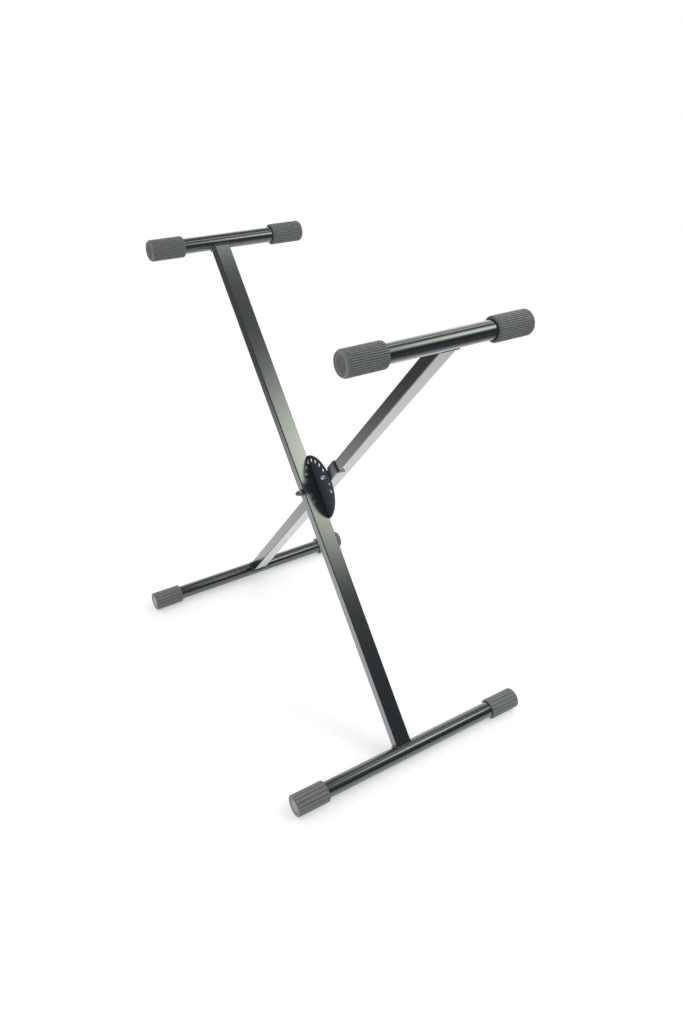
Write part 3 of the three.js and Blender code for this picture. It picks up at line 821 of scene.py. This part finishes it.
def moulded_rubber(name, end_tone_and_sheen, end_roughness):
    """Matt grey rubber: fine moulded grain, cloudy tone, painted shade darkening its grooves, and
    a painted highlight on its rims and on the rings of its end. Its flat end is smoother, and has
    a tone of its own, partly a painted sheen on the foot caps."""
    material, tree, rubber = new_finish(name)
    spot = add_node(tree, "ShaderNodeTexCoord").outputs["Object"]
    pits = made(tree, "ShaderNodeTexVoronoi", Vector=spot, Scale=900.0)
    cloud, grain = noise(tree, 55.0, 4.0, 0.6), noise(tree, 2600.0, 2.0, 0.6)
    # the second mark is the top caps' end rings and recess wall, painted paler as a painted
    # highlight
    groove, ring_highlight = (add_node(tree, "ShaderNodeAttribute", attribute_name=mark).outputs["Fac"]
                     for mark in ("groove", "ring_highlight"))
    # rims and the lip's crest are painted paler along this mask: a painted highlight
    edges = group_node(tree, "rub", Width=0.0007, Amount=0.70, Break_Size=0.006)["Mask"]
    dusty = group_node(tree, "dust", Amount=0.85, Patch_Size=0.012)["Mask"]
    # the flat end takes its own tone, which on the foot caps is paler, partly a painted sheen
    flat_end = ranged(tree, work_out(tree, "ABSOLUTE", facing(tree, "Y")), 0.96, 0.995)
    tone = blend_colour(tree, cloud, (0.138, 0.147, 0.146), (0.176, 0.187, 0.185))
    # the grooves are painted near black: painted shade in them
    for share, colour in ((work_out(tree, "MULTIPLY", groove, 0.85), (0.030, 0.033, 0.034)),
                          (edges, (0.30, 0.31, 0.31)), (flat_end, end_tone_and_sheen),
                          (ring_highlight, (0.34, 0.36, 0.36)), (dusty, (0.36, 0.36, 0.35))):
        tone = blend_colour(tree, share, tone, colour)
    matt = ranged(tree, cloud, low=0.50, high=0.66)
    matt = ranged(tree, flat_end, low=matt, high=end_roughness)
    rough = work_out(tree, "MULTIPLY_ADD", pits, 0.6, grain)
    feed(tree, rubber, tone, matt, rough, 0.6, 0.00002)
    return material


ribbed_turning = turning_tree()
top_rubber = moulded_rubber("grey_moulded_rubber", (0.150, 0.160, 0.158), 0.48)
# the foot caps' flat end is painted paler, partly a painted sheen of the bright floor
foot_rubber = moulded_rubber("grey_foot_rubber", (0.30, 0.31, 0.31), 0.34)
for arm in arms:
    for level, kind, outline, rubber in (("top", top_cap, top_cap_profile, top_rubber),
                                         ("foot", foot_cap, foot_cap_profile, foot_rubber)):
        bore = bar_radius(f"{arm}_{level}_bar") + fit_gap
        for end, turn in (("near", 0.0), ("far", math.pi)):
            node = f"{arm}_{level}_cap_{end}"
            low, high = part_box(node)
            centre, closed_end = middle_of(node), low.y if end == "near" else high.y
            cap = turned(f"{node}_rubber", outline(high.y - low.y, bore),
                         {**kind, "Turn": turn, "Finish": rubber},
                         (centre.x, closed_end, centre.z), sharp_from=50.0)
            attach(cap, arm)
            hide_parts(node)


# ==== Lock plate ==============================================================================
# A disc of 3 mm steel on the near arm, turned round the bolt, satin black. Eight holes in part
# of a ring near its edge take the sprung pin, one for each height of the stand.

plate_radius, bolt_hole_radius = 0.062, 0.0033
edge_ease = 0.0004


def disc_tree():
    """A flat disc in the XY plane, drilled in the middle and along part of a ring. Its flat face
    is drawn out to the thickness, and a turned-over copy of the face closes it."""
    tree, given = geometry_tree(
        "drilled_disc", Int=["Holes"], Material=["Finish"],
        Float=["Radius", "Thickness", "Middle Hole", "Ring Radius", "Hole Radius", "First Angle",
               "Pitch"])
    rim, middle, hole = (
        made(tree, "GeometryNodeCurvePrimitiveCircle", Resolution=sides, Radius=given[size])
        for sides, size in ((160, "Radius"), (48, "Middle Hole"), (40, "Hole Radius")))
    angle = work_out(tree, "MULTIPLY_ADD", made(tree, "GeometryNodeInputIndex"), given["Pitch"],
                     given["First Angle"])
    x, y = (work_out(tree, "MULTIPLY", work_out(tree, wave, angle), given["Ring Radius"])
            for wave in ("SINE", "COSINE"))
    marks = made(tree, "GeometryNodePoints", Count=given["Holes"],
                 Position=made(tree, "ShaderNodeCombineXYZ", X=x, Y=y))
    holes = made(tree, "GeometryNodeInstanceOnPoints", Points=marks, Instance=hole)
    holes = made(tree, "GeometryNodeRealizeInstances", Geometry=holes)
    lines = joined(tree, "GeometryNodeJoinGeometry", rim, middle, holes)
    face = made(tree, "GeometryNodeFillCurve", mode="TRIANGLES", Curve=lines)
    drawn = made(tree, "GeometryNodeExtrudeMesh", Mesh=face, Individual=False,
                 Offset=made(tree, "ShaderNodeCombineXYZ", Z=1.0),
                 Offset_Scale=given["Thickness"])
    under = made(tree, "GeometryNodeFlipFaces", Mesh=face)
    disc = joined(tree, "GeometryNodeJoinGeometry", drawn, under)
    disc = made(tree, "GeometryNodeMergeByDistance", Geometry=disc, Distance=0.00001)
    return ended(tree, given, disc)


plate_paint = coated_steel("satin_black_plate_coat", (0.046, 0.056, 0.069),
                           (0.056, 0.067, 0.081), (0.12, 0.125, 0.13), (0.46, 0.54),
                           ripple=0.0012, ripple_depth=0.000005, dust=0.06, index=1.4,
                           clear_coat=0.0)
plate_low, plate_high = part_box("lock_plate")
plate = grown("lock_plate_disc", disc_tree(), {
    "Radius": plate_radius, "Thickness": plate_high.y - plate_low.y,
    "Middle Hole": bolt_hole_radius, "Ring Radius": lock_circle,
    "Hole Radius": lock_hole_radius, "Holes": holes_closing + holes_opening + 1,
    "First Angle": stow_angle, "Pitch": lock_pitch, "Finish": plate_paint})


def ease_edges(item):
    """Rounds every sharp edge of a settled item."""
    modify(item, "eased_edges", "BEVEL", width=edge_ease, segments=2, limit_method="ANGLE",
           angle_limit=math.radians(50.0), use_clamp_overlap=True)
    modify(item, "flat_faces", "WEIGHTED_NORMAL", keep_sharp=True)
    return settled(item)


ease_edges(plate)
plate.data.transform(arm_place("plate_arm") @ Matrix.Translation((0, plate_high.y, 0))
                     @ Matrix.Rotation(math.pi / 2, 4, "X"))
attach(plate, "plate_arm")
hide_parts("lock_plate")


# ==== Pivot bolt, domed nut, washers and spacer ================================================
# One M6 bolt turns in a sleeve in each arm. Its hexagon head bears on a washer on the far arm,
# and a domed nut on the near one; both are dark plated steel. A dark nylon spacer keeps the plate
# off the far arm.

head_flats, head_height = 0.010, 0.004
dome_height, nut_blind = 0.006, 0.004
bolt_radius = 0.003
washer_radius, spacer_radius = 0.0065, 0.011


def small_part_finish(name, ripple, tones, roughness, bump, worn=None, **settings):
    """The finish of a small part: two near tones and a cloudy gloss over fine ripples, with its
    edges brightened to the colour `worn`."""
    material, tree, shader = new_finish(name, **settings)
    coat = group_node(tree, "coat", Ripple_Size=ripple)
    tone = blend_colour(tree, coat["Drift"], *tones)
    if worn:
        edges = group_node(tree, "rub", Width=0.0005, Amount=0.5, Break_Size=0.004)["Mask"]
        tone = blend_colour(tree, edges, tone, worn)
    gloss = ranged(tree, coat["Drift"], low=roughness[0], high=roughness[1])
    feed(tree, shader, tone, gloss, coat["Height"], *bump)
    return material


def hex_turning(name, rows):
    """Rows of (along, radius): a hexagon's side where it is nearer the axis than the radius."""
    sixth, steps = math.pi / 3, 144
    angles = [2 * math.pi * (k + 0.5) / steps for k in range(steps)]
    sides = [head_flats / 2 / math.cos(angle % sixth - sixth / 2) for angle in angles]
    mesh = mesh_from_loops(name, [
        [(min(radius, side) * math.sin(angle), y, pivot.z + min(radius, side) * math.cos(angle))
         for angle, side in zip(angles, sides)] for y, radius in rows])
    shade(mesh, 28.0)
    return object_of(name, mesh)


dark_steel = small_part_finish(
    "dark_plated_steel", 0.0007, ((0.19, 0.20, 0.20), (0.28, 0.29, 0.29)), (0.28, 0.42),
    (0.7, 0.00001), worn=(0.42, 0.43, 0.43), Metallic=0.8)
dark_nylon = small_part_finish(
    "dark_moulded_nylon", 0.0004, ((0.020, 0.021, 0.023), (0.032, 0.033, 0.036)), (0.5, 0.65),
    (0.5, 0.00002))

corner = head_flats / math.sqrt(3)
chamfer = corner - head_flats / 2 + 0.0003
chamfer_slope = 0.45           # its height for its width


def chamfered(face, way):
    """Rows from a hexagon's full corners to its turned end face, which looks `way` along Y."""
    return [(face - way * chamfer_slope * chamfer * (1 - k / 5), corner - chamfer * k / 5)
            for k in range(6)]


nut_low, nut_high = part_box("pivot_nut")
dome_root = head_flats / 2 - fit_gap
dome_start, bore_end = nut_low.y + dome_height, nut_low.y + nut_blind
ball = dome_root - 0.0001
nut_rows = [(nut_high.y, bolt_hole_radius), *reversed(chamfered(nut_high.y, 1)),
            *chamfered(dome_start, -1),
            (dome_start - 0.0001, dome_root), (dome_start - 0.0003, dome_root - 0.0001)]
dome_angles = [math.radians(a) for a in (0, 8, 16, 24, 32, 40, 48, 56, 64, 72, 80, 86, 90)]
nut_rows += [(nut_low.y + ball * (1 - math.sin(a)), ball * math.cos(a)) for a in dome_angles]
nut_rows += [(bore_end, 0.0), (bore_end, bolt_hole_radius)]
nut = hex_turning("pivot_domed_nut", nut_rows)

bolt_low, bolt_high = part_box("pivot_bolt")
head_seat = bolt_high.y - head_height
bolt_rows = [(bolt_low.y, 0.0), (bolt_low.y, bolt_radius - 0.0005),
             (bolt_low.y + 0.0005, bolt_radius), (head_seat, bolt_radius), (head_seat, corner),
             *chamfered(bolt_high.y, 1),
             (bolt_high.y, 0.0032), (bolt_high.y - 0.0003, 0.0029), (bolt_high.y - 0.0003, 0.0)]
bolt = hex_turning("pivot_bolt_with_head", bolt_rows)

pivot_pieces = [(nut, "pivot_nut"), (bolt, "pivot_bolt")]
for node, outer in (("pivot_washer_near", washer_radius), ("pivot_washer_far", washer_radius),
                    ("pivot_spacer", spacer_radius)):
    low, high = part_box(node)
    ring = lathe(f"{node}_ring", tube_profile(low.y, high.y, outer, bolt_hole_radius, 0.0003),
                 pivot, steps=72)
    pivot_pieces.append((ring, node))
for piece, node in pivot_pieces:
    is_spacer = node == "pivot_spacer"
    piece.data.materials.append(dark_nylon if is_spacer else dark_steel)
    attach(piece, "plate_arm")
    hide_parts(node)

for arm in arms:
    sleeve = frame["nodes"][f"{arm}_pivot_sleeve"]
    sleeve.data.materials.clear()
    sleeve.data.materials.append(dark_steel)


# ==== Lock pin, guide, collar, spring and pull button ==========================================
# A 7 mm bright steel pin with a rounded tip slides across the far arm in a guide. A coil spring
# pushes it through the plate, and a low black button on its other end pulls it back.

pin_middle = middle_of("lock_pin")
tip_length, collar_radius = 0.0035, 0.0054
button_radius, button_blind = 0.007, 0.0028
wire_radius, coils = 0.00045, 7.0


def polished_steel():
    """Bright drawn steel: fine lines round the pin and along the wire, with faint smears."""
    material, tree, steel = new_finish("bright_drawn_steel", Metallic=0.9)
    spot = add_node(tree, "ShaderNodeTexCoord").outputs["Object"]
    lines = made(tree, "ShaderNodeMapping", Vector=spot, Scale=(200.0, 5200.0, 200.0))
    rings = made(tree, "ShaderNodeTexNoise", Vector=lines, Scale=1.0, Detail=2.0)
    smears = group_node(tree, "coat", Ripple_Size=0.002)["Drift"]
    tone = blend_colour(tree, smears, (0.82, 0.83, 0.84), (0.92, 0.93, 0.94))
    feed(tree, steel, tone, ranged(tree, rings, low=0.24, high=0.32), rings, 0.3, 0.000004)
    return material


bright_steel = polished_steel()
pin_low, pin_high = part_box("lock_pin")
tip_angles = [math.radians(a) for a in (0, 8, 18, 28, 38, 48, 58, 68, 78, 90)]
pin_profile = [(pin_low.y + tip_length * (1 - math.cos(a)), pin_radius * math.sin(a))
               for a in tip_angles]
pin_profile += [(pin_low.y + 0.012, pin_radius), (pin_high.y - 0.0003, pin_radius),
                (pin_high.y, pin_radius - 0.0003), (pin_high.y, 0.0)]
pin = lathe("lock_pin_rod", pin_profile, pin_middle, steps=48)
pin.data.materials.append(bright_steel)
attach(pin, "lock_pin")
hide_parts("lock_pin")

for node, body, outer in (("pin_guide", "pin_arm", guide_radius),
                          ("pin_collar", "lock_pin", collar_radius)):
    low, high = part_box(node)
    ring = lathe(f"{node}_ring",
                 tube_profile(low.y, high.y, outer, pin_radius + fit_gap, 0.0002),
                 pin_middle, steps=48)
    ring.data.materials.append(dark_steel)
    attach(ring, body)
    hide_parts(node)

button_low, button_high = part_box("pull_button")
button_outline = [(button_high.y - 0.0003, 0.0, 0)]
button_outline += [(y, r, 0) for y, r in ((button_high.y, 0.0036), (button_high.y, 0.0048),
                                          (button_low.y + 0.0047, 0.0060),
                                          (button_low.y + 0.0042, 0.0067))]
button_outline += [(button_low.y + up, button_radius, 1) for up in (0.0034, 0.0022, 0.0005)]
button_outline += [(button_low.y, r, 0) for r in (0.0064, pin_radius + fit_gap)]
button_outline += [(button_low.y + button_blind, r, 0) for r in (pin_radius + fit_gap, 0.0)]
button = turned("pull_button_knob", button_outline, {
    "Ribs": 24, "Steps per Rib": 8, "Groove Share": 0.5, "Groove Floor": 0.1,
    "Groove Depth": 0.0004, "Rib Radius": button_radius, "Turn": 0.0, "Finish": dark_steel},
    (pin_middle.x, 0.0, pin_middle.z))
button.data.flip_normals()
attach(button, "lock_pin")
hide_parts("pull_button")


def spring_tree():
    """A coil of round wire along Z."""
    tree, given = geometry_tree("wound_spring", Material=["Finish"],
                                Float=["Coil Radius", "Length", "Coils", "Wire Radius"])
    coil = made(tree, "GeometryNodeCurveSpiral", Resolution=24, Rotations=given["Coils"],
                Start_Radius=given["Coil Radius"], End_Radius=given["Coil Radius"],
                Height=given["Length"])
    wire = made(tree, "GeometryNodeCurvePrimitiveCircle", Resolution=10,
                Radius=given["Wire Radius"])
    return ended(tree, given, made(tree, "GeometryNodeCurveToMesh", Curve=coil,
                                   Profile_Curve=wire, Fill_Caps=True))


coil_radius = pin_radius + fit_gap + 2 * wire_radius
spring_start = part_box("pin_collar")[1].y + fit_gap + wire_radius
spring_seat = outer_face - tube_wall
spring_length = spring_seat - fit_gap - wire_radius - spring_start
spring = grown("pin_spring_coil", spring_tree(), {
    "Coil Radius": coil_radius, "Length": spring_length, "Coils": coils,
    "Wire Radius": wire_radius, "Finish": bright_steel})
spring.data.transform(Matrix.Translation((pin_middle.x, spring_start, pin_middle.z))
                      @ Matrix.Rotation(-math.pi / 2, 4, "X"))
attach(spring, "pin_arm")
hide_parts("pin_spring")
# the collar pushes the spring's near end towards the wall that it bears on
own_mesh(spring)


# ==== Latch saddle, rivet and wire clip ========================================================
# A saddle of 2.5 mm sheet is folded over the far arm beside the plate, and one blind rivet holds
# its web. A stiff wire clip crosses the arm at the saddle's end and hooks under it.

sheet_thickness, bend_radius, saddle_web = 0.0025, 0.0025, 0.024
clip_radius, clip_bend, clip_foot, clip_bead = 0.0011, 0.002, 0.011, 0.0017
bead_steps = 8

saddle_paint = coated_steel("dark_sheet_coat", (0.050, 0.053, 0.056), (0.066, 0.069, 0.072),
                            (0.17, 0.175, 0.18), (0.28, 0.38), ripple=0.0010,
                            ripple_depth=0.000006, dust=0.1, index=1.6)


def saddle_outline():
    """The folded sheet's section across the arm, as (x, y) points."""
    half, near, inside = tube_width / 2, inner_face - fit_gap, 0.0004
    web, end = -half - fit_gap, near + saddle_web
    back, front = web - sheet_thickness, near - sheet_thickness
    bend = [math.pi / 2 * (2 + step / 8) for step in range(9)]
    return [(half, near), (web + inside, near), (web, near + inside), (web, end), (back, end),
            *((back + bend_radius * (1 + math.cos(a)), front + bend_radius * (1 + math.sin(a)))
              for a in bend), (half, front)]


def folded_saddle():
    """The saddle: its section drawn out along the arm, drilled and its edges eased."""
    shape = bmesh.new()
    base = shape.faces.new([shape.verts.new((x, y, saddle_start)) for x, y in saddle_outline()])
    pulled = bmesh.ops.extrude_face_region(shape, geom=[base])["geom"]
    moved = [part for part in pulled if isinstance(part, bmesh.types.BMVert)]
    bmesh.ops.translate(shape, verts=moved, vec=(0, 0, saddle_length))
    bmesh.ops.recalc_face_normals(shape, faces=shape.faces)
    saddle = object_of("latch_saddle_sheet", mesh_of("latch_saddle_sheet", shape))
    drill(saddle, [rivet_hole])
    ease_edges(saddle)
    saddle.data.transform(arm_place("pin_arm"))
    saddle.data.materials.clear()
    saddle.data.materials.append(saddle_paint)
    return saddle


def wire_clip():
    """The clip: round wire over the near face, down both sides, with a bead on one end."""
    side = tube_width / 2 + fit_gap + clip_radius
    front, foot = inner_face - fit_gap - clip_radius, inner_face + clip_foot
    height = saddle_start + saddle_length + fit_gap + clip_radius
    bends = [(clip_bend * (1 - math.cos(a)), clip_bend * (1 - math.sin(a)))
             for a in (math.radians(degrees) for degrees in (20, 40, 60, 80))]
    route = [(-side, foot), (-side, foot - 0.0008), (-side, front + clip_bend)]
    route += [(-side + aside, front + up) for aside, up in bends]
    route += [(-side + clip_bend, front), (side - clip_bend, front)]
    route += [(side - up, front + aside) for aside, up in bends]
    route += [(side, front + clip_bend), (side, foot - 0.0026)]
    widths = [1.0] * len(route)
    for step in range(bead_steps + 1):
        angle = math.radians(25 + 150 * step / bead_steps)
        route.append((side + (clip_bead - clip_radius) * math.sin(angle),
                      foot - math.cos(angle) * clip_bead))
        widths.append(max(math.sin(angle) * clip_bead / clip_radius, 0.15))
    widths[0] = 0.6             # the plain end is a little thinner
    curve = bpy.data.curves.new("latch_clip_wire", "CURVE")
    curve.dimensions = "3D"
    curve.bevel_depth = clip_radius
    curve.bevel_resolution = 4
    curve.use_fill_caps = True
    line = curve.splines.new("POLY")
    line.points.add(len(route) - 1)
    for point, (x, y), width in zip(line.points, route, widths):
        point.co = (x, y, height, 1.0)
        point.radius = width
    wire = object_of("latch_clip_wire", curve)
    mesh = bpy.data.meshes.new_from_object(
        wire.evaluated_get(bpy.context.evaluated_depsgraph_get()))
    bpy.data.objects.remove(wire)
    bpy.data.curves.remove(curve)
    mesh.name = "latch_clip_wire"
    shade(mesh, 60.0)
    mesh.transform(arm_place("pin_arm"))
    mesh.materials.append(dark_steel)
    return object_of("latch_clip_wire", mesh)


def blind_rivet():
    """The rivet: a shank in the arm's side and a low domed head on the saddle's web."""
    seat = tube_width / 2 + 2 * fit_gap + sheet_thickness
    grip, top = seat - fit_gap - sheet_thickness - 0.006, seat + 0.0012
    profile = [(grip, 0.0), (grip, rivet_radius - 0.0002), (grip + 0.0002, rivet_radius),
               (seat, rivet_radius), (seat, 0.0038), (seat + 0.0002, 0.0040),
               (seat + 0.0006, 0.0038), (seat + 0.0010, 0.0029), (top, 0.0017),
               (top - 0.0001, 0.0012), (top - 0.0006, 0.0010), (top - 0.0006, 0.0)]
    rivet = lathe("latch_rivet_head", profile, Vector(), steps=40)
    rivet.data.transform(arm_place("pin_arm")
                         @ Matrix.Translation((0, rivet_depth, rivet_height))
                         @ Matrix.Rotation(math.pi / 2, 4, "Z"))
    rivet.data.materials.append(dark_steel)
    return rivet


for piece, node, slot in ((folded_saddle(), "latch_saddle", "saddle_paint"),
                          (wire_clip(), "latch_clip", "black_hardware"),
                          (blind_rivet(), "latch_rivet", "black_hardware")):
    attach(piece, "pin_arm")
    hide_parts(node)
